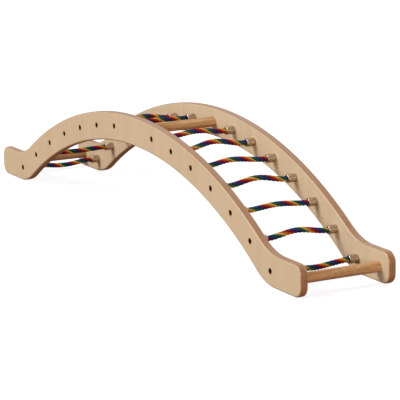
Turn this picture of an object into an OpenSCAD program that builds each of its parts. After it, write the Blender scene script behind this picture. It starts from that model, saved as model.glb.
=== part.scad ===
// Wooden rocker arch: two plywood side boards shaped as a shallow arch with a
// turned-out foot at each end, joined by three glued dowels, with fourteen rope
// rungs held between them by bolted metal end sleeves.
//
// +X runs along the arch, +Y across it and +Z up. The origin is on the floor
// under the middle of the arch. "Near" is the board on the -Y side.

/* [Arch] */
// Radius of the arc that all the arch rungs sit on
arch_r = 985; // [940:5:1030]
// Height of the crown rung's centre above the floor
crown_h = 219; // [212:1:228]
// Width of the curved band of each side board
band_w = 64; // [54:1:72]
// How far the rungs' arc lies outside the middle of the band
rung_offset = 1; // [0:0.5:3]
// Length of the whole arch from foot tip to foot tip
arch_length = 1410; // [1396:2:1430]
// Thickness of the plywood
board_t = 18; // [15:0.5:24]
// Clear width between the two side boards
inner_w = 187; // [160:1:240]

/* [Feet] */
// Height of each turned-out foot
foot_h = 67; // [58:1:72]
// Radius of the two rounded corners at a foot's tip
foot_tip_r = 23; // [14:1:27]
// Radius that blends the band's top edge into the foot
top_blend_r = 150; // [120:2:160]
// Radius that blends the band's under edge into the sole
sole_blend_r = 124; // [100:2:140]
// Height of the foot dowels and the last ropes above the floor
foot_rung_h = 32; // [30:1:36]
// Distance from a foot's tip to the centre of its dowel
foot_dowel_in = 37; // [34:1:42]

/* [Rope rungs] */
// Distance from one rung to the next along the arch
rung_pitch = 89.25; // [84:0.25:90]
// Diameter of the rope
rope_d = 12; // [9:0.5:13]
// Room between the soft rope and the sleeve that holds it
rope_room = 0.3; // [0.2:0.05:0.5]
// Outer diameter of a rope's end sleeve
sleeve_d = 18; // [16.5:0.5:22]
// Length of a rope's end sleeve
sleeve_l = 21; // [18:0.5:28]
// Thickness of the sleeve's threaded base
sleeve_base = 8; // [6:0.5:10]
// Bevel on the sleeve's outer edges
sleeve_bevel = 0.8; // [0.3:0.1:1.2]

/* [Dowels] */
// Diameter of the three wooden dowels
dowel_d = 22; // [18:0.5:28]
// Depth of the blind hole that a dowel is glued into
mortise_depth = 12; // [8:0.5:13]
// Room for glue round a dowel
glue_room = 0.05; // [0.03:0.01:0.1]
// Room for glue at a dowel's end
dowel_end_room = 0.5; // [0.2:0.1:1]
// Bevel on a dowel's ends
dowel_bevel = 1; // [0.5:0.1:1.5]

/* [Bolts] */
// Diameter of a bolt's shank
bolt_d = 6; // [5:0.5:6]
// Diameter of a bolt's head
bolt_head_d = 10; // [9:0.5:11]
// Height of a bolt's head
bolt_head_h = 6; // [4:0.5:6]
// Width across the flats of the hex socket in a bolt's head
hex_w = 5; // [4:0.5:6]
// Depth of the hex socket in a bolt's head
hex_depth = 3; // [2:0.5:4]
// Outer diameter of the washer under a bolt's head
washer_d = 12; // [11.5:0.1:12.2]
// Thickness of the washer
washer_t = 1.6; // [1:0.1:2]
// Diameter of the recess that hides a bolt's head
recess_d = 12.5; // [12.4:0.1:15]
// Depth of the recess that hides a bolt's head
recess_depth = 9; // [8:0.5:10]
// Room round a bolt where it passes through a washer and a board
bolt_room = 0.3; // [0.2:0.05:0.5]
// Room between a bolt's shank and the thread of its sleeve
thread_room = 0.05; // [0.03:0.01:0.08]

/* [Hidden] */
$fn = 96;

// How far each rope bows above (or, when negative, below) its sleeves' axis.
rope_bow = [-6, -2, 4, 7, 5, 8, 3, 6.5, 11, 7.5, 10, 5, 9, -6];
// Where the top of each bow lies: 0 at the near sleeve's mouth, 1 at the far one's.
rope_peak = [0.5, 0.5, 0.45, 0.5, 0.55, 0.55, 0.5, 0.5, 0.45, 0.4, 0.5, 0.5, 0.5, 0.45];

// The bow of every rope, as shares of its height at evenly spaced places between the mouths.
bow_shape = [0, 0.25, 0.75, 1, 0.75, 0.25, 0];
rope_sides = 12;

ropes = len(rope_bow);
half_ropes = ropes / 2;
outer_r = arch_r - rung_offset + band_w / 2;
inner_r = arch_r - rung_offset - band_w / 2;
arc_z = crown_h - arch_r;
tip_x = arch_length / 2;
arc_fn = 720;
past = 1;

// The rungs sit one pitch apart on the arc. The last rope sits at the height of the foot's
// dowel, midway between it and the last rung on the arc.
pitch_angle = 2 * asin(rung_pitch / 2 / arch_r);
function arc_point(step) = [arch_r * sin(step * pitch_angle), arc_z + arch_r * cos(step * pitch_angle)];
foot_dowel_x = tip_x - foot_dowel_in;
last_rope_x = (arc_point(half_ropes - 1)[0] + foot_dowel_x) / 2;

// Step of rope number i along the arch, counted from the crown dowel at 0.
function rope_step(i) = i <= half_ropes ? i - half_ropes - 1 : i - half_ropes;
function rope_point(i) = abs(rope_step(i)) == half_ropes
    ? [sign(rope_step(i)) * last_rope_x, foot_rung_h]
    : arc_point(rope_step(i));

// Centres of the two round blends between the band and a foot.
top_blend_z = foot_h + top_blend_r;
top_blend_x = sqrt(pow(outer_r + top_blend_r, 2) - pow(top_blend_z - arc_z, 2));
low_blend_x = sqrt(pow(inner_r + sole_blend_r, 2) - pow(sole_blend_r - arc_z, 2));
inner_foot_x = sqrt(pow(inner_r, 2) - pow(arc_z, 2));
outer_foot_x = sqrt(pow(outer_r, 2) - pow(foot_h - arc_z, 2));

// The face of a foot: a bar with two round corners at its tip, reaching in under the band.
module foot_face() {
    difference() {
        translate([inner_foot_x, 0]) square([tip_x - inner_foot_x, foot_h]);
        for (z = [0, foot_h]) tip_corner(z);
    }
}

// What the round corner takes off the foot's tip, at the top (z = foot_h) or the bottom.
module tip_corner(z) {
    centre_z = z == 0 ? foot_tip_r : foot_h - foot_tip_r;
    low_z = z == 0 ? -past : centre_z;
    difference() {
        translate([tip_x - foot_tip_r, low_z]) square([foot_tip_r + past, foot_tip_r + past]);
        translate([tip_x - foot_tip_r, centre_z]) circle(foot_tip_r);
    }
}

// Fills the hollow corner between the band's top edge and the foot's top edge.
module top_blend() {
    towards_arc = [top_blend_x, top_blend_z - arc_z] / (outer_r + top_blend_r);
    inside = outer_r - band_w / 4;
    difference() {
        polygon([[towards_arc[0] * inside, arc_z + towards_arc[1] * inside],
                 [outer_foot_x, foot_h - band_w / 4],
                 [top_blend_x, foot_h - band_w / 4],
                 [top_blend_x, top_blend_z]]);
        translate([top_blend_x, top_blend_z]) circle(top_blend_r, $fn = arc_fn);
    }
}

// What rounds off the corner between the band's under edge and the foot's sole.
module low_corner() {
    towards_arc = [low_blend_x, sole_blend_r - arc_z] / (inner_r + sole_blend_r);
    inside = inner_r - band_w / 4;
    difference() {
        polygon([[towards_arc[0] * inside, arc_z + towards_arc[1] * inside],
                 [inner_foot_x - band_w / 4, -past],
                 [low_blend_x, -past],
                 [low_blend_x, sole_blend_r]]);
        translate([low_blend_x, sole_blend_r]) circle(sole_blend_r, $fn = arc_fn);
    }
}

// One half of a side board's face, from the crown to a foot's tip.
module half_face() {
    difference() {
        union() {
            intersection() {
                translate([0, arc_z]) circle(outer_r, $fn = arc_fn);
                square([outer_r, outer_r]);
            }
            foot_face();
            top_blend();
        }
        translate([0, arc_z]) circle(inner_r, $fn = arc_fn);
        low_corner();
    }
}

module board_face() {
    half_face();
    mirror([1, 0]) half_face();
}

// Puts something at every rope rung's axis.
module at_ropes() {
    for (i = [1 : ropes]) translate([rope_point(i)[0], 0, rope_point(i)[1]]) children();
}

// Stands a shape built along +Z so that it points along +Y.
module along_y() {
    rotate([-90, 0, 0]) children();
}

// The near side board: its outer face is recessed for the bolt heads and its inner
// face has blind holes for the dowels.
module side_board() {
    outer_y = -inner_w / 2 - board_t;
    difference() {
        translate([0, -inner_w / 2, 0]) rotate([90, 0, 0]) linear_extrude(board_t) board_face();
        at_ropes() {
            translate([0, outer_y - past, 0]) along_y()
                cylinder(h = board_t + 2 * past, d = bolt_d + 2 * bolt_room);
            translate([0, outer_y - past, 0]) along_y()
                cylinder(h = recess_depth + past, d = recess_d);
        }
        for (p = dowel_points) translate([p[0], -inner_w / 2 - mortise_depth, p[1]]) along_y()
            cylinder(h = mortise_depth + past, d = dowel_d + 2 * glue_room);
    }
}

dowel_points = [[0, crown_h], [-foot_dowel_x, foot_rung_h], [foot_dowel_x, foot_rung_h]];

// A glued dowel with bevelled ends, lying along Y through the given point.
module dowel(p) {
    reach = inner_w / 2 + mortise_depth - dowel_end_room;
    translate([p[0], -reach, p[1]]) along_y() rotate_extrude() polygon([
        [0, 0], [dowel_d / 2 - dowel_bevel, 0], [dowel_d / 2, dowel_bevel],
        [dowel_d / 2, 2 * reach - dowel_bevel], [dowel_d / 2 - dowel_bevel, 2 * reach],
        [0, 2 * reach]]);
}

// A rope's end sleeve on the near board: a deep socket for the rope, and a base with a
// threaded hole for the bolt.
module end_sleeve() {
    socket_d = rope_d + 2 * rope_room;
    translate([0, -inner_w / 2, 0]) along_y() rotate_extrude() polygon([
        [bolt_d / 2, 0], [sleeve_d / 2 - sleeve_bevel, 0], [sleeve_d / 2, sleeve_bevel],
        [sleeve_d / 2, sleeve_l - sleeve_bevel], [sleeve_d / 2 - sleeve_bevel, sleeve_l],
        [socket_d / 2, sleeve_l], [socket_d / 2, sleeve_base], [bolt_d / 2, sleeve_base]]);
}

// A bolt with a hex socket in its head, through the near board into the sleeve's base.
module bolt() {
    head_seat = -inner_w / 2 - board_t + recess_depth - washer_t;
    shank_l = board_t - recess_depth + washer_t + sleeve_base;
    difference() {
        union() {
            translate([0, head_seat - bolt_head_h, 0]) along_y()
                cylinder(h = bolt_head_h, d = bolt_head_d);
            translate([0, head_seat - bolt_head_h / 2, 0]) along_y()
                cylinder(h = shank_l + bolt_head_h / 2, d = bolt_d - 2 * thread_room);
        }
        translate([0, head_seat - bolt_head_h - past, 0]) along_y()
            cylinder(h = hex_depth + past, d = hex_w / cos(30), $fn = 6);
    }
}

module washer() {
    translate([0, -inner_w / 2 - board_t + recess_depth - washer_t, 0]) along_y() difference() {
        cylinder(h = washer_t, d = washer_d);
        translate([0, 0, -past]) cylinder(h = washer_t + 2 * past, d = bolt_d + 2 * bolt_room);
    }
}

// Where a rope's rings stand: [place along Y, height above the sleeves' axis].
function rope_route(i) = let (
        mouth = inner_w / 2 - sleeve_l,
        end_y = inner_w / 2 - sleeve_base - rope_room,
        peak = rope_peak[i - 1],
        last = len(bow_shape) - 1)
    concat(
        [[-end_y, 0]],
        [for (n = [0 : last]) let (t = n / last, share = t < 0.5 ? 2 * t * peak : 1 - 2 * (1 - t) * (1 - peak))
            [mouth * (2 * share - 1), rope_bow[i - 1] * bow_shape[n]]],
        [[end_y, 0]]);

// The slope of a route at ring n, from the rings before and after it. Both ends are level.
function route_slope(route, n) = n < 2 || n > len(route) - 3
    ? 0
    : atan2(route[n + 1][1] - route[n - 1][1], route[n + 1][0] - route[n - 1][0]);

// Rope number i, swept as one tube with flat ends from sleeve to sleeve.
module rope(i) {
    route = rope_route(i);
    rings = len(route);
    points = [for (n = [0 : rings - 1]) for (side = [0 : rope_sides - 1])
        let (turn = 360 * side / rope_sides, slope = route_slope(route, n), up = rope_d / 2 * sin(turn))
        [rope_d / 2 * cos(turn), route[n][0] - up * sin(slope), route[n][1] + up * cos(slope)]];
    walls = [for (n = [0 : rings - 2]) for (side = [0 : rope_sides - 1])
        let (here = n * rope_sides + side, beside = n * rope_sides + (side + 1) % rope_sides)
        [here, beside, beside + rope_sides, here + rope_sides]];
    near_end = [for (side = [rope_sides - 1 : -1 : 0]) side];
    far_end = [for (side = [0 : rope_sides - 1]) (rings - 1) * rope_sides + side];
    p = rope_point(i);
    translate([p[0], 0, p[1]]) polyhedron(points, concat(walls, [near_end, far_end]));
}

module board_near() { color("burlywood") side_board(); }
module board_far() { color("burlywood") mirror([0, 1, 0]) side_board(); }
module bolts_near() { color([0.16, 0.15, 0.15]) at_ropes() bolt(); }
module bolts_far() { color([0.16, 0.15, 0.15]) mirror([0, 1, 0]) at_ropes() bolt(); }
module washers_near() { color("silver") at_ropes() washer(); }
module washers_far() { color("silver") mirror([0, 1, 0]) at_ropes() washer(); }

module dowel_crown() { color("peru") dowel(dowel_points[0]); }
module dowel_foot_left() { color("peru") dowel(dowel_points[1]); }
module dowel_foot_right() { color("peru") dowel(dowel_points[2]); }
module rope_rung(i) { color("mediumvioletred") rope(i); }

module sleeve(i, side) {
    p = rope_point(i);
    color("silver") translate([p[0], 0, p[1]]) mirror([0, side == "far" ? 1 : 0, 0]) end_sleeve();
}

function two_digits(i) = i < 10 ? str("0", i) : str(i);

board_near();
board_far();
dowel_crown();
dowel_foot_left();
dowel_foot_right();
for (i = [1 : ropes]) {
    rope_rung(i);
    sleeve(i, "near");
    sleeve(i, "far");
}
bolts_near();
bolts_far();
washers_near();
washers_far();
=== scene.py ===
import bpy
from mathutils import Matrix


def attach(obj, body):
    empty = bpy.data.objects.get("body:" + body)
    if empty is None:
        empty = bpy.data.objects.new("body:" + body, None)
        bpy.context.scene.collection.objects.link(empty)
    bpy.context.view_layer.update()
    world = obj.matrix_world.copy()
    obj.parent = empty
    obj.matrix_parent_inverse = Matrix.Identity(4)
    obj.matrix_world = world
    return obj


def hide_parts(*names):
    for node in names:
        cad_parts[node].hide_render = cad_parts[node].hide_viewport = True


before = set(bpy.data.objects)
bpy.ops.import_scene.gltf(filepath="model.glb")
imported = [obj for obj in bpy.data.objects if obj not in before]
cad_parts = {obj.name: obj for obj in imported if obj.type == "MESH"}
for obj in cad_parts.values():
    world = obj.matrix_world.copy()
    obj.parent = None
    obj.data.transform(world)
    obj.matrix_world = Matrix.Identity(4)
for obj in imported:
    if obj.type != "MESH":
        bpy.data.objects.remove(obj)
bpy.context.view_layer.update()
print("nodes in the frame:", len(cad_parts))

# %% [markdown]
# # A wooden rocker arch
# Two plywood side boards stand on turned-out feet. Three round dowels and fourteen bowed
# rungs of six-coloured rope hold them apart. The frame that was just loaded holds every
# part as a plain solid, in metres, with X along the arch, Y across it and Z up. This lesson
# builds the looks round it: each piece but the small bolts and washers is a surface worked
# out with numpy, at the place where its plain solid stands, and each finish is a material
# made of nodes.

# %% Tools
import math

import bpy
import numpy as np
from mathutils import Quaternion, Vector
from mathutils.geometry import tessellate_polygon

MM = 0.001
print("working in Blender", bpy.app.version_string)

# %% [markdown]
# ## The camera
# The arch is seen from its right end and a little above. The camera is far away with a long
# lens, so that the two boards look nearly parallel.

# %% Make the camera
CAMERA_AZIMUTH = math.radians(61.152)
CAMERA_HEIGHT_ANGLE = math.radians(12.703)
CAMERA_TIP = math.radians(-0.580)
CAMERA_PLACE = (4.2148, -2.2653, 1.1284)
CAMERA_LENS_MM = 197.762
CAMERA_SENSOR_MM = 36

camera_back = Vector((
    math.sin(CAMERA_AZIMUTH) * math.cos(CAMERA_HEIGHT_ANGLE),
    -math.cos(CAMERA_AZIMUTH) * math.cos(CAMERA_HEIGHT_ANGLE),
    math.sin(CAMERA_HEIGHT_ANGLE),
))
camera_data = bpy.data.cameras.new("camera")
camera_data.lens = CAMERA_LENS_MM
camera_data.sensor_width = CAMERA_SENSOR_MM
camera_data.clip_start = 0.1
camera_data.clip_end = 60
camera = bpy.data.objects.new("camera", camera_data)
bpy.context.scene.collection.objects.link(camera)
camera.rotation_mode = "QUATERNION"
aim = (-camera_back).to_track_quat("-Z", "Y")
camera.rotation_quaternion = aim @ Quaternion((0, 0, 1), CAMERA_TIP)
camera.location = CAMERA_PLACE
bpy.context.scene.camera = camera
print("the camera stands", round(camera.location.length, 2), "m from the arch's origin")

# %% [markdown]
# ## Where the rungs sit
# All rungs but the last at each end sit on one large circle, one pitch apart, on both sides
# of the dowel at the crown. The last rope sits at the height of the foot's dowel, midway
# between it and the last rung on the circle. These are the same rules and sizes as in the
# part's source, in metres.

# %% Sizes of the arch
ARCH_R = 985 * MM
CROWN_H = 219 * MM
BAND_W = 64 * MM
RUNG_OFFSET = 1 * MM
ARCH_LENGTH = 1410 * MM
BOARD_T = 18 * MM
INNER_W = 187 * MM
FOOT_H = 67 * MM
FOOT_TIP_R = 23 * MM
TOP_BLEND_R = 150 * MM
SOLE_BLEND_R = 124 * MM
FOOT_RUNG_H = 32 * MM
RUNG_PITCH = 89.25 * MM
DOWEL_INSET = 37 * MM
ROPES_A_SIDE = 7

ARCH_Z = CROWN_H - ARCH_R
OUTER_R = ARCH_R - RUNG_OFFSET + BAND_W / 2
INNER_R = ARCH_R - RUNG_OFFSET - BAND_W / 2
INNER_Y = INNER_W / 2
OUTER_Y = INNER_Y + BOARD_T
TIP_X = ARCH_LENGTH / 2
PITCH_ANGLE = 2 * math.asin(RUNG_PITCH / 2 / ARCH_R)
DOWEL_X = TIP_X - DOWEL_INSET
DOWEL_PLACES = ((0, CROWN_H), (-DOWEL_X, FOOT_RUNG_H), (DOWEL_X, FOOT_RUNG_H))


def rung_place(step):
    """(x, z) of a rung, counted in steps from the crown at 0: x = R sin(step * angle) and
    z = centre + R cos(step * angle). Step 7 at either end is the last rope, in the foot."""
    if abs(step) == ROPES_A_SIDE:
        last_on_arc = ARCH_R * math.sin((ROPES_A_SIDE - 1) * PITCH_ANGLE)
        return math.copysign((last_on_arc + DOWEL_X) / 2, step), FOOT_RUNG_H
    angle = step * PITCH_ANGLE
    return ARCH_R * math.sin(angle), ARCH_Z + ARCH_R * math.cos(angle)


ROPE_STEPS = [step for step in range(-ROPES_A_SIDE, ROPES_A_SIDE + 1) if step]
ROPE_PLACES = [rung_place(step) for step in ROPE_STEPS]
print("rungs lie", round(math.degrees(PITCH_ANGLE), 3), "degrees apart;",
      "the last one at x =", round(ROPE_PLACES[-1][0], 4))

# %% [markdown]
# ## Helpers for surfaces
# A surface here is a grid of points with rows and columns. Blender wants its corners as
# plain lists, which foreach_set takes straight from numpy arrays. Where a surface's true
# normals are known from its formula they are stored too, so that a flat face next to a
# rounding is shaded perfectly flat.

# %% Grids, faces and meshes
def grid_quads(rows, columns, closed_rows=False):
    """Quads of a grid numbered row by row: point (i, j) joins (i, j+1), (i+1, j+1) and
    (i+1, j). The last column joins the first, and the last row does where rows are closed."""
    i = np.arange(rows if closed_rows else rows - 1)[:, None]
    j = np.arange(columns)[None, :]
    down = (i + 1) % rows
    right = (j + 1) % columns
    corners = [i * columns + j, i * columns + right, down * columns + right, down * columns + j]
    return np.stack(np.broadcast_arrays(*corners), axis=-1).reshape(-1, 4)


def as_rows(x, y, z):
    """Coordinates over one grid, as rows of (x, y, z) with one row a point."""
    return np.stack(np.broadcast_arrays(x, y, z), axis=-1).reshape(-1, 3)


def enclosed_volume(points, faces):
    """The volume inside a closed mesh: the sum over its triangles of a . (b x c) / 6.
    It is negative where the faces point inwards."""
    total = 0.0
    for group in faces:
        a = points[group[:, 0]]
        for k in range(1, group.shape[1] - 1):
            b, c = points[group[:, k]], points[group[:, k + 1]]
            total += np.einsum("ij,ij->", a, np.cross(b, c)) / 6
    return total


def make_piece(name, points, faces, normals=None, uv=None, marks=None):
    """A mesh object at the origin. points is (n, 3); faces is a list of arrays with one face
    a row; normals has one row a point; uv is one array a face group, (faces, corners, 2);
    marks gives named numbers, or rows of three, for each point."""
    faces = [np.asarray(group) for group in faces]
    if enclosed_volume(points, faces) < 0:
        faces = [group[:, ::-1] for group in faces]
        uv = uv and [part[:, ::-1] for part in uv]
    corners = np.concatenate([group.ravel() for group in faces])
    sizes = np.concatenate([np.full(len(group), group.shape[1]) for group in faces])
    mesh = bpy.data.meshes.new(name)
    mesh.vertices.add(len(points))
    mesh.vertices.foreach_set("co", np.asarray(points, np.float32).ravel())
    mesh.loops.add(len(corners))
    mesh.loops.foreach_set("vertex_index", corners.astype(np.int32))
    mesh.polygons.add(len(sizes))
    mesh.polygons.foreach_set("loop_start", (np.cumsum(sizes) - sizes).astype(np.int32))
    mesh.update(calc_edges=True)
    mesh.polygons.foreach_set("use_smooth", np.ones(len(sizes), bool))
    if uv:
        flat = np.concatenate([part.reshape(-1, 2) for part in uv]).astype(np.float32)
        mesh.uv_layers.new(name="along").data.foreach_set("uv", flat.ravel())
    for mark, values in (marks or {}).items():
        kind, field = ("FLOAT", "value") if np.ndim(values) == 1 else ("FLOAT_VECTOR", "vector")
        layer = mesh.attributes.new(mark, kind, "POINT")
        layer.data.foreach_set(field, np.asarray(values, np.float32).ravel())
    if normals is not None:
        mesh.normals_split_custom_set_from_vertices(normals.tolist())
    if mesh.validate():
        print(name, "had faults in its mesh, now mended")
    piece = bpy.data.objects.new(name, mesh)
    bpy.context.scene.collection.objects.link(piece)
    return piece


def join(parts):
    """Joins (points, normals, faces) triples into one, counting every part's faces on from
    the points before it."""
    count = np.cumsum([0] + [len(points) for points, _, _ in parts])
    faces = [group + start for start, part in zip(count, parts) for group in part[2]]
    return np.concatenate([p[0] for p in parts]), np.concatenate([p[1] for p in parts]), faces


print("a tube of 3 rows and 8 columns has", len(grid_quads(3, 8)), "quads")

# %% [markdown]
# ## The rope rungs
# Each rung is a rope of six coloured strands laid together, stiff enough to stand in a bow
# between its two metal sleeves. The rope's middle line follows the route of the plain solid:
# level inside the sleeves, and a squared sine between them. A tube with painted stripes
# would miss the hollows between the strands, so each strand is its own tube here.

# %% The route of every rope
SLEEVE_L = 21 * MM
SLEEVE_BASE = 8 * MM
ROPE_END_ROOM = 0.3 * MM
MOUTH_Y = INNER_Y - SLEEVE_L
ROPE_END_Y = INNER_Y - SLEEVE_BASE - ROPE_END_ROOM
ROPE_BOW = np.array([-6, -2, 4, 7, 5, 8, 3, 6.5, 11, 7.5, 10, 5, 9, -6]) * MM
ROPE_PEAK = [0.5, 0.5, 0.45, 0.5, 0.55, 0.55, 0.5, 0.5, 0.45, 0.4, 0.5, 0.5, 0.5, 0.45]
ROPE_RINGS = 121


def rope_route(number):
    """Points of rope number's middle line, from the near end to the far one. Between the
    mouths its height is bow * sin(pi t) ** 2, where t runs evenly up to the peak's place
    and evenly from there on."""
    x, z = ROPE_PLACES[number]
    y = np.linspace(-ROPE_END_Y, ROPE_END_Y, ROPE_RINGS)
    share = np.clip((y / MOUTH_Y + 1) / 2, 0, 1)
    peak = ROPE_PEAK[number]
    t = np.where(share < peak, share / (2 * peak), 1 - (1 - share) / (2 * (1 - peak)))
    height = ROPE_BOW[number] * np.sin(math.pi * t) ** 2
    return np.stack([np.full_like(y, x), y, z + height], axis=1)


routes = [rope_route(number) for number in range(len(ROPE_PLACES))]

# %% [markdown]
# A right-hand rope's strands turn once round it in about four diameters. The strand's oval
# is a little wider than its share of the circle, so that neighbours press into each other
# as real strands do.

# %% The strands of a rope
STRANDS = 6
STRAND_SIDES = 22
STRAND_CENTRE = 3.7 * MM
STRAND_HALF_DEPTH = 2.3 * MM
STRAND_HALF_WIDTH = 2.0 * MM


def rope_strands(route, turn, lay):
    """Six strands round a route in an upright plane. A ring's centre is route + R (cos a X +
    sin a N), where X is across the route, N is its upward normal and a falls by one turn
    for every lay length. The oval about it is depth cos b outwards and width sin b
    sideways."""
    way = np.gradient(route, axis=0)
    way /= np.linalg.norm(way, axis=1, keepdims=True)
    across = np.array([1.0, 0.0, 0.0])
    upward = np.cross(across, way)
    along = np.concatenate([[0], np.cumsum(np.linalg.norm(np.diff(route, axis=0), axis=1))])
    strand = np.arange(STRANDS)[:, None]
    angle = math.radians(turn) + strand * math.tau / STRANDS - math.tau * along[None, :] / lay
    outward = np.cos(angle)[..., None] * across + np.sin(angle)[..., None] * upward
    sideways = -np.sin(angle)[..., None] * across + np.cos(angle)[..., None] * upward
    b = np.arange(STRAND_SIDES) * math.tau / STRAND_SIDES
    depth = STRAND_CENTRE + STRAND_HALF_DEPTH * np.cos(b)
    width = STRAND_HALF_WIDTH * np.sin(b)
    points = (route[None, :, None, :] + depth[:, None] * outward[:, :, None, :]
              + width[:, None] * sideways[:, :, None, :])
    return points, along, b


def strand_faces(rings):
    """Quads of all the strands' tubes, and the flat faces of their near and far ends."""
    per_strand = rings * STRAND_SIDES
    starts = (np.arange(STRANDS) * per_strand)[:, None, None]
    quads = (grid_quads(rings, STRAND_SIDES)[None] + starts).reshape(-1, 4)
    near_ends = np.arange(STRAND_SIDES)[None, :] + starts[:, 0]
    return [quads, near_ends[:, ::-1], near_ends + per_strand - STRAND_SIDES]


def strand_uv(along):
    """For the corners of those faces: the share of the way round the strand, and the
    distance along it in metres. The ends show no twist, and get zeros."""
    share = np.arange(STRAND_SIDES + 1) / STRAND_SIDES
    u = np.stack([share[:-1], share[1:], share[1:], share[:-1]], axis=-1)
    v = np.stack([along[:-1], along[:-1], along[1:], along[1:]], axis=-1)
    one_tube = np.stack(np.broadcast_arrays(u[None], v[:, None]), axis=-1).reshape(-1, 4, 2)
    ends = np.zeros((STRANDS, STRAND_SIDES, 2))
    return [np.tile(one_tube, (STRANDS, 1, 1)), ends, ends]


print("faces in one rope:", sum(len(group) for group in strand_faces(ROPE_RINGS)))

# %% [markdown]
# Each rope has its own lay and is turned its own way about its line, so no two rungs look
# alike. One of them went in the other way round, and its colours follow each other
# backwards. The number of its strand and its height on that strand are marked on every
# point for the material, and the place round the strand and the way along it go into a UV
# map.

# %% Build the ropes
# The length in which each rope's strands turn once round it.
ROPE_LAY = np.array([46, 47.2, 49, 50, 48, 41.7, 46, 50.2, 52.1, 52.3, 64.5, 52.6, 57, 44.7]) * MM
# How far each rope is turned about its own line: the angle of its first strand at the near end.
ROPE_TURN = [116, 350, 335, 200, 237, 314, 227, 321, 133, 6, 324, 36, 150, 18]
ROPES_TURNED_ROUND = {13}


def build_rope(number):
    """One rope rung: six strand tubes with flat ends, in one mesh."""
    points, along, b = rope_strands(routes[number], ROPE_TURN[number], ROPE_LAY[number])
    rings = len(along)
    order = np.arange(STRANDS)
    if number + 1 in ROPES_TURNED_ROUND:
        order = order[::-1]
    marks = {
        "strand": np.repeat((order + 0.5) / STRANDS, rings * STRAND_SIDES),
        "height_on_rope": np.tile(np.cos(b), rings * STRANDS),
    }
    name = f"rope_rung_{number + 1:02d}"
    piece = make_piece(name, points.reshape(-1, 3), strand_faces(rings),
                       uv=strand_uv(along), marks=marks)
    node = f"rope_{number + 1:02d}"
    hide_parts(node)
    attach(piece, node + "_body")
    return piece


ropes = [build_rope(number) for number in range(len(routes))]
print(len(ropes), "ropes, of", len(ropes[0].data.vertices), "points each")

# %% [markdown]
# ## Round-cornered profiles
# Dowels, sleeves and the holes in the boards are turned or drilled: a profile carried once
# round an axis. Real corners are never quite sharp, and a thin rounding is what catches the
# light. So a profile is given as plain corners with a radius each, and the roundings are
# worked out from them.

# %% Profile and lathe
def rounded_profile(corners, radii, steps=4, closed=True):
    """Points and outward normals along a polygon with round corners. At a corner the normal
    turns from one side's to the next side's, n(t), and the point is centre + r n(t), where
    the centre lies r / cos(half the turn) from the corner. Solid lies to the right of the
    way round. An open profile's first and last corners only lead in and out: they are left
    out of the points, and their radii are not used."""
    corners = np.asarray(corners, float)
    ways = np.roll(corners, -1, axis=0) - corners
    ways /= np.linalg.norm(ways, axis=1, keepdims=True)
    points, normals = [], []
    for k, (corner, radius) in enumerate(zip(corners, radii)):
        if not closed and k in (0, len(corners) - 1):
            continue
        way_in, way_out = ways[k - 1], ways[k]
        normal_in = np.array([-way_in[1], way_in[0]])
        turn = math.atan2(way_in[0] * way_out[1] - way_in[1] * way_out[0], way_in @ way_out)
        bend = -math.copysign(radius, turn)
        centre = corner - way_in * radius * abs(math.tan(turn / 2)) - bend * normal_in
        angle = math.atan2(normal_in[1], normal_in[0]) + turn * np.linspace(0, 1, steps + 1)
        normal = np.stack([np.cos(angle), np.sin(angle)], axis=1)
        points.append(centre + bend * normal)
        normals.append(normal)
    return np.concatenate(points), np.concatenate(normals)


def turned(profile, normals, centre, sides, closed=False):
    """A profile of (radius, y) carried round an axis along Y through centre = (x, z):
    the point (x + r cos a, y, z + r sin a). An open profile leaves a round opening at either
    end."""
    angle = np.arange(sides) * math.tau / sides
    cos, sin = np.cos(angle), np.sin(angle)
    radius, outward = profile[:, :1], normals[:, :1]
    points = as_rows(centre[0] + radius * cos, profile[:, 1:], centre[1] + radius * sin)
    point_normals = as_rows(outward * cos, normals[:, 1:], outward * sin)
    return points, point_normals, grid_quads(len(profile), sides, closed_rows=closed)


corner_test, _ = rounded_profile([(1, 0), (1, 1), (0, 1), (0, 0)], [0.1] * 4)
print("a unit square with round corners spans", corner_test.min(axis=0), corner_test.max(axis=0))

# %% [markdown]
# ## The side boards
# A side board is sawn from thick plywood: a band that follows the large circle, with a foot
# turned outward at each end. Its outline is a chain of arcs and straight lines, each
# touching the next. Only the arcs need points, because a straight line runs by itself from
# the end of one arc to the start of the next.

# %% The board's outline
LONG_ARC_STEPS = 110
BLEND_STEPS = 26
TIP_STEPS = 16
SAME_POINT = 1e-6

top_blend_z = FOOT_H + TOP_BLEND_R
top_blend_x = math.sqrt((OUTER_R + TOP_BLEND_R) ** 2 - (top_blend_z - ARCH_Z) ** 2)
low_blend_x = math.sqrt((INNER_R + SOLE_BLEND_R) ** 2 - (SOLE_BLEND_R - ARCH_Z) ** 2)
top_meet = math.atan2(top_blend_z - ARCH_Z, top_blend_x)
low_meet = math.atan2(SOLE_BLEND_R - ARCH_Z, low_blend_x)


def arc(centre, radius, start, end, steps, bulge=1):
    """Points centre + radius (cos a, sin a) from angle start to end, with the normal along
    the radius, or against it where the board hollows in (bulge -1)."""
    angle = np.linspace(start, end, steps + 1)
    direction = np.stack([np.cos(angle), np.sin(angle)], axis=1)
    return np.asarray(centre) + radius * direction, bulge * direction


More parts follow.
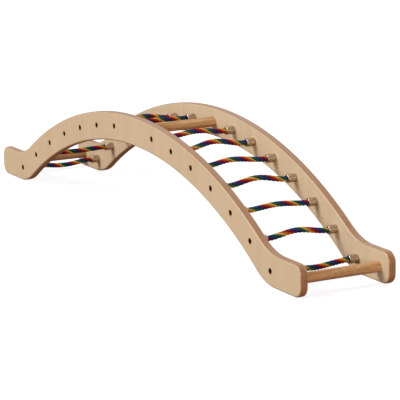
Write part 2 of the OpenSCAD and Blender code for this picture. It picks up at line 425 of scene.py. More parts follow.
def half_outline():
    """The right half of the outline, clockwise from the crown's top to its underside."""
    right, top, tip = 0.0, math.pi / 2, TIP_X - FOOT_TIP_R
    top_blend, low_blend = (top_blend_x, top_blend_z), (low_blend_x, SOLE_BLEND_R)
    pieces = [
        arc((0, ARCH_Z), OUTER_R, top, top_meet, LONG_ARC_STEPS),
        arc(top_blend, TOP_BLEND_R, top_meet - math.pi, -top, BLEND_STEPS, bulge=-1),
        arc((tip, FOOT_H - FOOT_TIP_R), FOOT_TIP_R, top, right, TIP_STEPS),
        arc((tip, FOOT_TIP_R), FOOT_TIP_R, right, -top, TIP_STEPS),
        arc(low_blend, SOLE_BLEND_R, -top, low_meet - math.pi, BLEND_STEPS),
        arc((0, ARCH_Z), INNER_R, low_meet, top, LONG_ARC_STEPS, bulge=-1),
    ]
    points = np.concatenate([p for p, _ in pieces])
    normals = np.concatenate([n for _, n in pieces])
    gaps = np.linalg.norm(np.diff(points, axis=0), axis=1)
    keep = np.concatenate([[True], gaps > SAME_POINT])
    return points[keep], normals[keep]


right_points, right_normals = half_outline()
flip = np.array([-1.0, 1.0])
outline = np.concatenate([right_points[:-1], (right_points * flip)[:0:-1]])
outline_normals = np.concatenate([right_normals[:-1], (right_normals * flip)[:0:-1]])
print("outline of", len(outline), "points, from x", outline[:, 0].min(), "to", outline[:, 0].max())

# %% [markdown]
# The outline is carried across the board's thickness. Near each face it moves inwards along
# its normal, on a quarter circle, which gives the eased edge. Each bolt sits in a recess in
# the outer face, and the dowels go into blind holes in the inner one. The mouth of a hole
# has a small rounding, which ends just short of the rim so that no two points coincide.

# %% Rim and holes of a board
EASE_R = 4 * MM
EASE_STEPS = 6
EDGE_ROWS = 6
RIM_SIDES = 48
BORE_R = 3.3 * MM
RECESS_R = 6.25 * MM
RECESS_DEPTH = 9 * MM
BOLT_RIM = 0.6 * MM
DOWEL_R = 11 * MM
DOWEL_HOLE_R = 11.05 * MM
DOWEL_HOLE_DEPTH = 12 * MM
DOWEL_RIM = 0.3 * MM
HOLE_FLOOR_ROUND = 0.3 * MM
RIM_SHARE = 0.99


def board_rim():
    """The outline carried from the outer face, at depth 0, to the inner one. On the eased
    edges depth = r (1 - cos b) and inset = r (1 - sin b), with the normal leaning by b."""
    b = np.linspace(0, math.pi / 2, EASE_STEPS + 1)
    middle = np.linspace(EASE_R, BOARD_T - EASE_R, EDGE_ROWS + 1)[1:-1]
    far_ease = BOARD_T - EASE_R * (1 - np.cos(b[::-1]))
    depth = np.concatenate([EASE_R * (1 - np.cos(b)), middle, far_ease])
    lean = np.concatenate([b, np.full(len(middle), math.pi / 2), b[::-1]])
    face_way = np.concatenate([np.cos(b), np.zeros(len(middle)), -np.cos(b[::-1])])
    inset = EASE_R * (1 - np.sin(lean))
    place = outline - inset[:, None, None] * outline_normals
    leaning = np.sin(lean)[:, None, None] * outline_normals
    points = as_rows(place[..., 0], -OUTER_Y + depth[:, None], place[..., 1])
    normals = as_rows(leaning[..., 0], -face_way[:, None], leaning[..., 1])
    return points, normals, [grid_quads(len(depth), len(outline))]


def bolt_hole(centre):
    """A recess with a flat floor for the bolt's head, then the bolt's hole on to the inner
    face, as one profile from the outer face to the inner one."""
    floor = -OUTER_Y + RECESS_DEPTH
    mouth_round = BOLT_RIM * RIM_SHARE
    corners = [(RECESS_R + BOLT_RIM, -OUTER_Y), (RECESS_R, -OUTER_Y), (RECESS_R, floor),
               (BORE_R, floor), (BORE_R, -INNER_Y), (BORE_R + BOLT_RIM, -INNER_Y)]
    radii = [0, mouth_round, HOLE_FLOOR_ROUND, HOLE_FLOOR_ROUND, mouth_round, 0]
    profile, normals = rounded_profile(corners, radii, closed=False)
    points, normals, quads = turned(profile, normals, centre, RIM_SIDES)
    return points, normals, [quads]


def dowel_hole(centre):
    """A blind hole for a dowel's end, from its floor inside the board to the inner face."""
    floor = -INNER_Y - DOWEL_HOLE_DEPTH
    corners = [(0, floor), (DOWEL_HOLE_R, floor), (DOWEL_HOLE_R, -INNER_Y),
               (DOWEL_HOLE_R + DOWEL_RIM, -INNER_Y)]
    radii = [0, HOLE_FLOOR_ROUND, DOWEL_RIM * RIM_SHARE, 0]
    profile, normals = rounded_profile(corners, radii, closed=False)
    points, normals, quads = turned(profile, normals, centre, RIM_SIDES)
    return points, normals, [quads, np.arange(RIM_SIDES)[None, :]]


print("points in a board's rim:", len(board_rim()[0]))

# %% [markdown]
# A face itself is flat and full of holes. Blender's own filler turns its rims into
# triangles, and the stored normals keep it flat. The far board is the near one's mirror
# image.

# %% Build the side boards
def fill_face(points, rings, way):
    """Triangles of a flat face with holes. rings holds the point numbers of each closed rim,
    the outline first. The triangles are turned over where their normal (b - a) x (c - a)
    doesn't point along Y (way 1) or against it (way -1)."""
    filled = tessellate_polygon([points[ring].tolist() for ring in rings])
    triangles = np.concatenate(rings)[np.array(filled)]
    a, b, c = points[triangles[0]]
    return triangles[:, ::-1] if way * np.cross(b - a, c - a)[1] < 0 else triangles


def build_board(name, node, side):
    """The near board (side -1), or the far one (side 1) as its mirror image."""
    holes = [bolt_hole(place) for place in ROPE_PLACES]
    parts = [board_rim()] + holes + [dowel_hole(place) for place in DOWEL_PLACES]
    points, normals, faces = join(parts)
    starts = np.cumsum([0] + [len(part[0]) for part in parts])
    rim, ring = np.arange(len(outline)), np.arange(RIM_SIDES)
    outer = [rim] + [start + ring for start in starts[1:1 + len(holes)]]
    inner = [starts[1] - len(rim) + rim] + [end - RIM_SIDES + ring for end in starts[2:]]
    faces += [fill_face(points, outer, -1), fill_face(points, inner, 1)]
    mirror = np.array([1.0, -side, 1.0])
    piece = make_piece(name, points * mirror, faces, normals=normals * mirror,
                       marks={"cut": np.abs(normals)})
    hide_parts(node)
    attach(piece, "frame")
    print(name, "has", len(piece.data.polygons), "faces")
    return piece


boards = [
    build_board("side_board_near", "board_near", -1),
    build_board("side_board_far", "board_far", 1),
]

# %% [markdown]
# ## The dowels
# Three turned dowels are glued into blind holes in both boards. Each is a cylinder with
# softened ends; the long grain that its material draws along it does the rest.

# %% Build the dowels
LATHE_SIDES = 64
DOWEL_END_ROOM = 0.5 * MM
DOWEL_END_ROUND = 1 * MM
DOWEL_END_Y = INNER_Y + DOWEL_HOLE_DEPTH - DOWEL_END_ROOM
DOWEL_NAMES = [
    ("crown_dowel", "dowel_crown"),
    ("foot_dowel_left", "dowel_foot_left"),
    ("foot_dowel_right", "dowel_foot_right"),
]


def build_dowel(name, node, centre):
    """A dowel along Y, with softened ends."""
    corners = [(0, -DOWEL_END_Y), (DOWEL_R, -DOWEL_END_Y), (DOWEL_R, DOWEL_END_Y), (0, DOWEL_END_Y)]
    radii = [0, DOWEL_END_ROUND, DOWEL_END_ROUND, 0]
    profile, normals = rounded_profile(corners, radii, closed=False)
    points, normals, quads = turned(profile, -normals, centre, LATHE_SIDES)
    ring = np.arange(LATHE_SIDES)[None, :]
    faces = [quads, ring[:, ::-1], ring + len(points) - LATHE_SIDES]
    piece = make_piece(name, points, faces, normals=normals)
    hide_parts(node)
    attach(piece, "frame")
    return piece


dowels = [build_dowel(*names, place) for names, place in zip(DOWEL_NAMES, DOWEL_PLACES)]
print("a dowel is", round(2 * DOWEL_END_Y, 4), "m long")

# %% [markdown]
# ## The end sleeves
# A turned metal sleeve sits against the board's inner face at each rope's end. The bolt
# screws into its solid base, and the rope sits in its deep socket. Its profile is one closed
# loop: out along the base, along the outside, over the lip, down the socket and back along
# the threaded hole. The outer corners are the roundest, because they are what shows.

# %% Build the sleeves
SLEEVE_R = 9 * MM
SOCKET_R = 6.3 * MM
THREAD_R = 3 * MM
BASE_ROUND = 1.4 * MM
LIP_ROUND = 2.0 * MM
MOUTH_ROUND = 0.6 * MM
INSIDE_ROUND = 0.3 * MM


def build_sleeve(name, node, centre, side):
    """A sleeve on the near board (side -1) or the far one (side 1)."""
    face, mouth, step = -INNER_Y, -INNER_Y + SLEEVE_L, -INNER_Y + SLEEVE_BASE
    corners = [(THREAD_R, face), (SLEEVE_R, face), (SLEEVE_R, mouth), (SOCKET_R, mouth),
               (SOCKET_R, step), (THREAD_R, step)]
    radii = [INSIDE_ROUND, BASE_ROUND, LIP_ROUND, MOUTH_ROUND, INSIDE_ROUND, INSIDE_ROUND]
    profile, normals = rounded_profile(corners, radii)
    profile, normals = profile * [1, -side], -normals * [1, -side]
    points, normals, quads = turned(profile, normals, centre, LATHE_SIDES, closed=True)
    piece = make_piece(name, points, [quads], normals=normals)
    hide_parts(node)
    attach(piece, "frame")
    return piece


sleeves = []
for number, place in enumerate(ROPE_PLACES, start=1):
    for where, side in (("near", -1), ("far", 1)):
        name, node = f"sleeve_{where}_turned_{number:02d}", f"sleeve_{where}_{number:02d}"
        sleeves.append(build_sleeve(name, node, place, side))
print(len(sleeves), "sleeves of", len(sleeves[0].data.polygons), "faces each")

# %% [markdown]
# ## Helpers for materials
# A material is a small graph of nodes. One helper adds a node and either sets each of its
# sockets to a number or colour, or links it to another node's output. Colours are written
# as they look on a screen, from 0 to 255, and turned into the linear numbers that Blender
# works with.

# %% Nodes and colours
def linear(red, green, blue):
    """Screen colour to linear: ((c + 0.055) / 1.055) ** 2.4, or c / 12.92 near black."""
    c = np.array([red, green, blue]) / 255
    c = np.where(c > 0.04045, ((c + 0.055) / 1.055) ** 2.4, c / 12.92)
    return (*c.tolist(), 1.0)


def set_sockets(tree, node, sockets):
    """Sets a node's inputs. Each value is a number, a tuple, or another node's output."""
    for key, value in dict(sockets).items():
        if isinstance(value, bpy.types.NodeSocket):
            tree.links.new(value, node.inputs[key])
        else:
            node.inputs[key].default_value = value


def add(tree, kind, sockets=(), **fields):
    """A node of that kind with its fields and sockets set."""
    node = tree.nodes.new("ShaderNode" + kind)
    for field, value in fields.items():
        setattr(node, field, value)
    set_sockets(tree, node, sockets)
    return node


def maths(tree, operation, *values):
    """The output of a Math node."""
    return add(tree, "Math", dict(enumerate(values)), operation=operation).outputs[0]


def blend_colours(tree, amount, first, second, kind="MIX"):
    """The output of a colour Mix node: first at amount 0, second at 1."""
    node = add(tree, "Mix", {0: amount, 6: first, 7: second}, data_type="RGBA", blend_type=kind)
    return node.outputs[2]


def spread(tree, value, low, high, new_low=0.0, new_high=1.0):
    """value, taken from low..high to new_low..new_high and held there."""
    node = add(tree, "MapRange", {0: value, 1: low, 2: high, 3: new_low, 4: new_high}, clamp=True)
    return node.outputs[0]


def noise(tree, place, scale, detail, **more):
    """Soft random humps around 0.5, scale of them in a metre of place."""
    sockets = {"Vector": place, "Scale": scale, "Detail": detail, **more}
    return add(tree, "TexNoise", sockets).outputs[0]


def xyz(tree, vector):
    """The three outputs that take a vector apart."""
    return add(tree, "SeparateXYZ", {0: vector}).outputs


def bumped(tree, height, strength, distance):
    """The normal of a surface that rises by distance where height grows by 1."""
    sockets = {"Strength": strength, "Distance": distance, "Height": height}
    return add(tree, "Bump", sockets).outputs[0]


print("mid grey is", round(linear(128, 128, 128)[0], 4), "in linear light")

# %% [markdown]
# More helpers start a material or a node group, place a group, and put a material on its
# pieces.

# %% Materials and groups
def new_material(name):
    """An empty material: its node tree, and its Principled shader joined to the output."""
    material = bpy.data.materials.new(name)
    material.use_nodes = True
    tree = material.node_tree
    tree.nodes.clear()
    shader = tree.nodes.new("ShaderNodeBsdfPrincipled")
    output = tree.nodes.new("ShaderNodeOutputMaterial")
    tree.links.new(shader.outputs[0], output.inputs[0])
    return material, tree, shader


def new_group(name, inputs, outputs):
    """An empty shader node group: its tree, what its input node gives and its output node.
    inputs and outputs give each socket's name and kind, and inputs its first value too."""
    tree = bpy.data.node_groups.new(name, "ShaderNodeTree")
    for label, kind, value in inputs:
        socket = tree.interface.new_socket(label, in_out="INPUT", socket_type="NodeSocket" + kind)
        if kind != "Vector":
            socket.default_value = value
    for label, kind in outputs:
        tree.interface.new_socket(label, in_out="OUTPUT", socket_type="NodeSocket" + kind)
    return tree, tree.nodes.new("NodeGroupInput").outputs, tree.nodes.new("NodeGroupOutput")


def place_group(tree, group, **values):
    """A node group placed in a tree, with its sockets set or linked. A socket's name is
    written here in small letters, with _ for a space."""
    sockets = {label.replace("_", " ").capitalize(): value for label, value in values.items()}
    return add(tree, "Group", sockets, node_tree=group).outputs


def wear(material, *objects):
    """Puts the material on objects, in place of what they wear."""
    for piece in objects:
        if not piece.material_slots:
            piece.data.materials.append(material)
        for slot in piece.material_slots:
            slot.material = material


print("materials so far:", len(bpy.data.materials))

# %% [markdown]
# ## Shared effect: wood grain
# The boards and the dowels are different woods with the same kind of grain: long soft bands,
# fine fibres, and short dark pores that all run one way. One node group draws it along the
# Z axis of the place it is given, so a piece whose grain runs another way turns its place
# first. It puts out a tone, a mask of the pores, and a height.

# %% Group: wood grain
FIBRES_PER_BAND = 14.0
PORES_PER_BAND = 30.0
BAND_SHARE = 0.62
FIBRE_SHARE = 0.38

grain_group, given, gives = new_group(
    "wood_grain",
    [("Place", "Vector", None), ("Bands per metre", "Float", 30.0), ("Stretch", "Float", 12.0)],
    [("Tone", "Float"), ("Pores", "Float"), ("Height", "Float")],
)
per_metre = given["Bands per metre"]
parts = xyz(grain_group, given["Place"])
squeezed = maths(grain_group, "DIVIDE", parts[2], given["Stretch"])
drawn = add(grain_group, "CombineXYZ", {0: parts[0], 1: parts[1], 2: squeezed}).outputs[0]
bands = noise(grain_group, drawn, per_metre, 3.0, Roughness=0.55, Distortion=0.6)
fibres = noise(grain_group, drawn, maths(grain_group, "MULTIPLY", per_metre, FIBRES_PER_BAND), 2.0)
specks = noise(grain_group, drawn, maths(grain_group, "MULTIPLY", per_metre, PORES_PER_BAND), 1.0)
pores = spread(grain_group, specks, 0.62, 0.74)
band_part = maths(grain_group, "MULTIPLY", bands, BAND_SHARE)
set_sockets(grain_group, gives, {
    "Tone": maths(grain_group, "MULTIPLY_ADD", fibres, FIBRE_SHARE, band_part),
    "Pores": pores,
    "Height": maths(grain_group, "SUBTRACT", fibres, pores),
})
print("wood grain group:", len(grain_group.nodes), "nodes")

# %% [markdown]
# ## Shared effect: uneven finish
# No lacquered, turned or plated surface is evenly shiny. A second group gives every finish
# its own small unevenness: a slow one, from handling, and a fast one, from the surface
# itself. It puts out a roughness and a height.

# %% Group: uneven finish
HANDLING_SCALE = 22.0

finish_group, given, gives = new_group(
    "uneven_finish",
    [("Place", "Vector", None), ("Roughness", "Float", 0.4), ("Spread", "Float", 0.1),
     ("Fine scale", "Float", 900.0)],
    [("Roughness", "Float"), ("Height", "Float")],
)
slow = noise(finish_group, given["Place"], HANDLING_SCALE, 2.0)
fast = noise(finish_group, given["Place"], given["Fine scale"], 2.0)
sway = maths(finish_group, "SUBTRACT", maths(finish_group, "ADD", slow, fast), 1.0)
set_sockets(finish_group, gives, {
    "Roughness": maths(finish_group, "MULTIPLY_ADD", sway, given["Spread"], given["Roughness"]),
    "Height": fast,
})
print("uneven finish group:", len(finish_group.nodes), "nodes")

# %% [markdown]
# ## Plywood
# The faces are pale birch under satin lacquer, with a faint upright grain. The edges show
# the plies: thin layers whose grain runs upright and lengthwise by turns. A ply looks dark
# where the edge cuts across its grain and light where it runs along it, so the same ply is
# dark at the crown and light at the foot's tip. The mark "cut" tells the material which way
# the surface faces, and the distance from the outer face tells it which ply it is.

# %% Colours of a face and of an edge
PLIES = 13
PLY_T = BOARD_T / PLIES
FACE_BAND, FACE_PALE, FACE_PORE = linear(200, 177, 144), linear(209, 189, 159), linear(174, 142, 106)
EDGE_LONG_GRAIN, EDGE_END_GRAIN = linear(176, 132, 92), linear(151, 104, 65)
EDGE_DEEP, EDGE_STREAK, GLUE_LINE = linear(132, 84, 50), linear(196, 148, 102), linear(92, 58, 36)


def face_colour(tree, grain):
    """Birch veneer: pale, with faint darker bands and pores."""
    colour = blend_colours(tree, spread(tree, grain["Tone"], 0.3, 0.7), FACE_BAND, FACE_PALE)
    return blend_colours(tree, maths(tree, "MULTIPLY", grain["Pores"], 0.35), colour, FACE_PORE)


def plies(tree, across):
    """The number of the ply, floor(depth / thickness) from the outer face, and a mask of the
    glue, which rises close to where one ply meets the next."""
    depth = maths(tree, "SUBTRACT", OUTER_Y, maths(tree, "ABSOLUTE", across))
    ply = maths(tree, "DIVIDE", depth, PLY_T)
    off_middle = maths(tree, "SUBTRACT", maths(tree, "FRACT", ply), 0.5)
    glue = spread(tree, maths(tree, "ABSOLUTE", off_middle), 0.42, 0.5, 0.0, 0.5)
    return maths(tree, "FLOOR", ply), glue


def edge_colour(tree, place, cut, layer, glue):
    """A sawn edge: end grain or long grain by turns, a tone of each ply's own, the glue
    lines, and fine streaks along the plies."""
    lengthwise = maths(tree, "MODULO", layer, 2.0)
    upright_cut = maths(tree, "MULTIPLY", cut[2], maths(tree, "SUBTRACT", 1.0, lengthwise))
    end_grain = maths(tree, "MULTIPLY_ADD", cut[0], lengthwise, upright_cut)
    colour = blend_colours(tree, end_grain, EDGE_LONG_GRAIN, EDGE_END_GRAIN)
    own_tone = add(tree, "TexWhiteNoise", {"W": layer}, noise_dimensions="1D").outputs["Value"]
    colour = blend_colours(tree, spread(tree, own_tone, 0.0, 1.0, 0.0, 0.35), colour, EDGE_DEEP)
    colour = blend_colours(tree, glue, colour, GLUE_LINE)
    streaky = add(tree, "Mapping", {"Vector": place, "Scale": (1.0, 14.0, 1.0)}).outputs[0]
    streaks = spread(tree, noise(tree, streaky, 120.0, 4.0), 0.3, 0.75, 0.0, 0.3)
    return blend_colours(tree, streaks, colour, EDGE_STREAK)


print("one ply is", round(PLY_T / MM, 2), "mm thick")

# %% [markdown]
# The material blends the two by the way the surface faces: an eased edge still shows plies,
# and only the flat face shows the veneer. The glue lines lie a little deeper than the wood.

# %% Material: plywood
GLUE_DEPTH = -0.8


def plywood_material():
    """Birch plywood: face veneer, thirteen plies along the edges, satin lacquer."""
    material, tree, shader = new_material("birch_plywood")
    place = add(tree, "TexCoord").outputs["Object"]
    grain = place_group(tree, grain_group, place=place, bands_per_metre=34.0, stretch=16.0)
    finish = place_group(tree, finish_group, place=place, roughness=0.36, spread=0.12,
                         fine_scale=700.0)
    layer, glue = plies(tree, xyz(tree, place)[1])
    cut = xyz(tree, add(tree, "Attribute", attribute_name="cut").outputs["Vector"])
    edge = edge_colour(tree, place, cut, layer, glue)
    on_face = spread(tree, cut[1], 0.55, 1.0)
    wood_height = maths(tree, "ADD", grain["Height"], finish["Height"])
    height = maths(tree, "MULTIPLY_ADD", glue, GLUE_DEPTH, wood_height)
    set_sockets(tree, shader, {
        "Base Color": blend_colours(tree, on_face, edge, face_colour(tree, grain)),
        "Roughness": finish["Roughness"],
        "Specular IOR Level": 0.42,
        "Normal": bumped(tree, height, 0.12, 0.4 * MM),
    })
    return material


wear(plywood_material(), *boards)
print("boards dressed:", len(boards))

# %% [markdown]
# ## Dowel wood
# The dowels are a warmer and darker wood, with plain streaks from end to end. The grain
# group draws along Z, so a Mapping node first lays the pattern down along Y.

# %% Material: dowel wood
DOWEL_BROWN, DOWEL_HONEY, DOWEL_PORE = linear(170, 115, 68), linear(219, 175, 128), linear(120, 76, 44)


def dowel_material():
    """Turned beech: streaks along Y, from honey to brown, under satin lacquer."""
    material, tree, shader = new_material("turned_beech")
    place = add(tree, "TexCoord").outputs["Object"]
    laid = add(tree, "Mapping", {"Vector": place, "Rotation": (math.pi / 2, 0.0, 0.0)}).outputs[0]
    grain = place_group(tree, grain_group, place=laid, bands_per_metre=150.0, stretch=26.0)
    finish = place_group(tree, finish_group, place=place, roughness=0.4, spread=0.15,
                         fine_scale=900.0)
    colour = blend_colours(tree, spread(tree, grain["Tone"], 0.42, 0.6), DOWEL_BROWN, DOWEL_HONEY)
    pore_mask = maths(tree, "MULTIPLY", grain["Pores"], 0.5)
    height = maths(tree, "ADD", grain["Height"], finish["Height"])
    set_sockets(tree, shader, {
        "Base Color": blend_colours(tree, pore_mask, colour, DOWEL_PORE),
        "Roughness": finish["Roughness"],
        "Specular IOR Level": 0.12,
        "Normal": bumped(tree, height, 0.2, 0.3 * MM),
    })
    return material


wear(dowel_material(), *dowels)
print("dowels dressed:", len(dowels))

# %% [markdown]
# ## Rope
# Each strand is dyed in one colour of the rainbow, and is itself twisted from yarns. The
# strand's mark picks its dye from a ramp with hard steps. The UV map gives the place round
# the strand and the way along it: a sum of the two counts the yarns, and a sine of that sum
# makes their ridges, with painted shade in the grooves between them. The hollows between
# strands are painted darker too: this is painted shade, not a colour of the rope.

# %% Material: rope
YARNS = 9
YARN_TWIST_PER_M = 420.0
FIBRES_PER_YARN = 5.0
FIBRES_PER_M = 160.0
STRAND_DYES = [(138, 3, 12), (210, 80, 12), (214, 174, 82), (36, 81, 44), (9, 63, 95), (54, 30, 98)]
WHITE = (1, 1, 1, 1)
# Painted shade: the near-black that the grooves between the yarns are darkened towards.
PAINTED_YARN_SHADE = (0.01, 0.01, 0.012, 1)
# Painted shade: the near-black that the hollows between the strands are darkened towards.
PAINTED_HOLLOW_SHADE = (0.012, 0.01, 0.012, 1)


def strand_dye(tree, strand):
    """The strand's own colour, from a ramp with one hard step for each dye."""
    ramp = add(tree, "ValToRGB", {0: strand})
    ramp.color_ramp.interpolation = "CONSTANT"
    stops = ramp.color_ramp.elements
    for k, dye in enumerate(STRAND_DYES):
        stop = stops[0] if k == 0 else stops.new(k / STRANDS)
        stop.position = k / STRANDS
        stop.color = linear(*dye)
    stops.remove(stops[-1])
    return ramp.outputs[0]


def rope_material():
    """Six dyed strands of twisted yarn with a soft sheen. The yarns' ridges are
    |sin(pi count)|, where count = yarns * share round + twist * distance along. The grooves
    between the yarns and the hollows between the strands get painted shade."""
    material, tree, shader = new_material("rainbow_rope")
    strand = add(tree, "Attribute", attribute_name="strand").outputs["Fac"]
    spot = xyz(tree, add(tree, "UVMap", uv_map="along").outputs[0])
    twist = maths(tree, "MULTIPLY", spot[1], YARN_TWIST_PER_M)
    count = maths(tree, "MULTIPLY_ADD", spot[0], float(YARNS), twist)
    ridge = maths(tree, "ABSOLUTE", maths(tree, "SINE", maths(tree, "MULTIPLY", count, math.pi)))
    fibre_place = add(tree, "CombineXYZ", {
        0: maths(tree, "MULTIPLY", count, FIBRES_PER_YARN),
        1: maths(tree, "MULTIPLY", spot[1], FIBRES_PER_M),
        2: strand,
    }).outputs[0]
    fibres = noise(tree, fibre_place, 1.6, 3.0)
    lit = spread(tree, fibres, 0.3, 0.7, 0.0, 0.3)
    colour = blend_colours(tree, lit, strand_dye(tree, strand), WHITE, "SOFT_LIGHT")
    # Painted shade: where a yarn's ridge falls away into a groove, the colour is darkened towards
    # near-black.
    colour = blend_colours(tree, spread(tree, ridge, 0.0, 0.5, 0.45, 0.0), colour, PAINTED_YARN_SHADE)
    height_on_rope = add(tree, "Attribute", attribute_name="height_on_rope").outputs["Fac"]
    # Painted shade: the inward side of each strand, towards the rope's core and its neighbours, is
    # darkened towards near-black.
    painted_hollow_shade = spread(tree, height_on_rope, -0.2, 0.6, 0.55, 0.0)
    height = maths(tree, "MULTIPLY_ADD", fibres, 0.35, ridge)
    set_sockets(tree, shader, {
        "Base Color": blend_colours(tree, painted_hollow_shade, colour, PAINTED_HOLLOW_SHADE),
        "Roughness": spread(tree, fibres, 0.2, 0.8, 0.55, 0.75),
        "Specular IOR Level": 0.12,
        "Sheen Weight": 0.02,
        "Sheen Roughness": 0.4,
        "Normal": bumped(tree, height, 0.6, 0.5 * MM),
    })
    return material


wear(rope_material(), *ropes)
print("dyes in the rope:", len(STRAND_DYES))

# %% [markdown]
# ## Metals
# The sleeves are turned from aluminium and left satin: their roughness and their finest
# grooves run round them, so the pattern is squeezed along Y. The bolts in the recesses are
# black, and their washers zinc-plated. Both keep the plain solids' shape and only get these
# finishes. The bolts' black coat hides the steel, so it is shaded as a dull coat and not as
# bare metal. Their dark red-brown tone and almost missing gloss are partly that coat and
# partly painted shade, so that each recess reads as deep shade.

# %% Materials: metals
def metal_material(name, colour, tint, rough, scale, grooves=1.0, metallic=1.0, specular=0.5):
    """A metal with a slightly uneven colour and fine grooves across Y."""
    material, tree, shader = new_material(name)
    place = add(tree, "TexCoord").outputs["Object"]
    drawn = add(tree, "Mapping", {"Vector": place, "Scale": (1.0, grooves, 1.0)}).outputs[0]
    finish = place_group(tree, finish_group, place=drawn, roughness=rough, spread=0.16,
                         fine_scale=scale)
    patches = spread(tree, noise(tree, drawn, 90.0, 3.0), 0.35, 0.65)
    set_sockets(tree, shader, {
        "Base Color": blend_colours(tree, patches, colour, tint),
        "Roughness": finish["Roughness"],
        "Metallic": metallic,
        "Specular IOR Level": specular,
        "Normal": bumped(tree, finish["Height"], 0.15, 0.2 * MM),
    })
    return material


sleeve_metal = metal_material(
    "satin_aluminium", linear(198, 178, 158), linear(168, 142, 118), 0.27, 260.0, grooves=9.0)
# The bolts' dark red-brown with almost no gloss is partly a black coat and partly painted shade for
# the deep recesses.
bolt_black_and_painted_shade = metal_material(
    "black_bolt_painted_shade", linear(34, 12, 4), linear(22, 8, 3), 0.55, 500.0, metallic=0.0, specular=0.05)
zinc = metal_material("zinc_plate", linear(150, 148, 142), linear(128, 126, 122), 0.42, 500.0)
wear(sleeve_metal, *sleeves)
wear(bolt_black_and_painted_shade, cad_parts["bolts_near"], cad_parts["bolts_far"])
wear(zinc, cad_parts["washers_near"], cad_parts["washers_far"])
print("metals:", sleeve_metal.name, bolt_black_and_painted_shade.name, zinc.name)

# %% [markdown]
# ## Floor
# The arch stands on a plain floor in white surroundings. The camera sees both as white, and
# so would glass. In gloss they show only in part, because satin metal that mirrors white on
# every side loses its dark side. To all other rays the floor is dim and brown: what it
# throws back on the wood is weak and warm, so the undersides stay dark. The floor still
# takes some real light, and keeps the arch's faint shadow with it.

# %% Lay the floor
FLOOR_HALF = 9.0
FLOOR_DROP = 0.4 * MM
FLOOR_SHOWN = (0.30, 0.30, 0.30, 1.0)
FLOOR_ADDED = 0.82
FLOOR_THROWN_BACK = (0.24, 0.085, 0.02, 1.0)
FLOOR_IN_GLOSS = 0.1


def seen_white(tree, in_gloss):
    """How far a ray sees white: 1 for one from the camera or through glass, in_gloss for
    one off a glossy surface, and 0 for any other."""
    path = add(tree, "LightPath").outputs
    off_gloss = maths(tree, "MULTIPLY", path["Is Glossy Ray"], in_gloss)
    seen_through = maths(tree, "MAXIMUM", path["Is Transmission Ray"], off_gloss)
    return maths(tree, "MAXIMUM", path["Is Camera Ray"], seen_through)


floor_corners = np.array([(-1, -1, 0), (1, -1, 0), (1, 1, 0), (-1, 1, 0)]) * FLOOR_HALF
floor_mesh = bpy.data.meshes.new("floor")
floor_mesh.from_pydata((floor_corners - [0, 0, FLOOR_DROP]).tolist(), [], [(0, 1, 2, 3)])
floor = bpy.data.objects.new("floor", floor_mesh)
bpy.context.scene.collection.objects.link(floor)

floor_material, tree, shader = new_material("white_floor")
shown = seen_white(tree, FLOOR_IN_GLOSS)
set_sockets(tree, shader, {
    "Base Color": blend_colours(tree, shown, FLOOR_THROWN_BACK, FLOOR_SHOWN),
    "Roughness": 1.0,
    "Specular IOR Level": 0.0,
    "Emission Color": WHITE,
    "Emission Strength": maths(tree, "MULTIPLY", shown, FLOOR_ADDED),
})
wear(floor_material, floor)
print("floor of", round((2 * FLOOR_HALF) ** 2), "m2")

# %% [markdown]
# ## World
# The world lights the arch weakly and unevenly, as a room does: a little brighter and warmer
# on the right than on the left, and dim overhead. One bright cool strip, behind on the left
# and half way up, is what the lacquered top edges mirror. The world's colour is picked by
# the X, Y and Z of the way a ray goes, each from -1 to 1.

# %% Make the world
WORLD_LEFT = (0.40, 0.46, 0.54, 1.0)
WORLD_RIGHT = (0.86, 0.80, 0.72, 1.0)
WORLD_TOP = (0.13, 0.14, 0.15, 1.0)
WORLD_STRIP = (1.34, 1.46, 1.56, 1.0)
WORLD_IN_GLOSS = 0.35
STRIP_WAY_BACK = 0.42

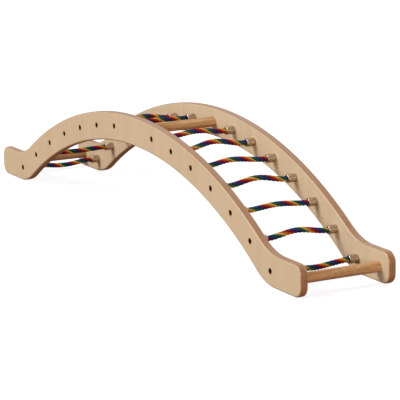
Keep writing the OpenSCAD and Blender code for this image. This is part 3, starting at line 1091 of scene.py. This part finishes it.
world = bpy.data.worlds.new("white_room")
world.use_nodes = True
bpy.context.scene.world = world
tree = world.node_tree
tree.nodes.clear()
way = xyz(tree, add(tree, "TexCoord").outputs["Generated"])
round_the_room = blend_colours(tree, spread(tree, way[0], -0.5, 0.7), WORLD_LEFT, WORLD_RIGHT)
room = blend_colours(tree, spread(tree, way[2], 0.15, 0.75), round_the_room, WORLD_TOP)
off_strip = maths(tree, "ABSOLUTE", maths(tree, "SUBTRACT", way[1], STRIP_WAY_BACK))
on_the_left = spread(tree, way[0], 0.15, -0.1)
strip = maths(tree, "MULTIPLY", spread(tree, off_strip, 0.26, 0.12), on_the_left)
strip = maths(tree, "MULTIPLY", strip, spread(tree, way[2], 0.15, 0.45))
room = blend_colours(tree, strip, room, WORLD_STRIP)
fill = add(tree, "Background", {"Color": room, "Strength": 1.0}).outputs[0]
white = add(tree, "Background", {"Color": WHITE, "Strength": 1.0}).outputs[0]
either = add(tree, "MixShader", {0: seen_white(tree, WORLD_IN_GLOSS), 1: fill, 2: white})
add(tree, "OutputWorld", {0: either.outputs[0]})
print("world:", world.name, "of", len(tree.nodes), "nodes")

# %% [markdown]
# ## Lamps
# Three large soft lamps give the light its direction. The key lamp stands high in front of
# the near board, a weaker one low on the right, on the camera's side, and another one
# behind. Each is so far away that it lights the whole arch evenly.

# %% Place the lamps
LIT_POINT = Vector((0, 0, 0.1))
LAMPS = [
    # name, place, width, level
    ("key_lamp", (-3.5, -12.5, 9.4), 6.0, 0.83),
    ("side_lamp", (12.0, -5.0, 3.2), 5.0, 0.35),
    ("back_lamp", (-2.0, 12.0, 6.0), 6.0, 0.36),
]


def soft_lamp(name, place, width, level):
    """A square area lamp. level is what a white surface facing it would render as: a lamp
    of power P at distance d lights it with P / (pi d) ** 2."""
    beam = LIT_POINT - Vector(place)
    data = bpy.data.lights.new(name, "AREA")
    data.size = width
    data.energy = level * (math.pi * beam.length) ** 2
    lamp = bpy.data.objects.new(name, data)
    bpy.context.scene.collection.objects.link(lamp)
    lamp.rotation_mode = "QUATERNION"
    lamp.rotation_quaternion = beam.to_track_quat("-Z", "Y")
    lamp.location = place
    return lamp


for lamp in [soft_lamp(*values) for values in LAMPS]:
    print(lamp.name, "of", round(lamp.data.energy), "W")

# %% [markdown]
# ## The view
# The Standard view shows a colour as it was written.

# %% Render settings
bpy.context.scene.view_settings.view_transform = "Standard"
print("view:", bpy.context.scene.view_settings.view_transform)
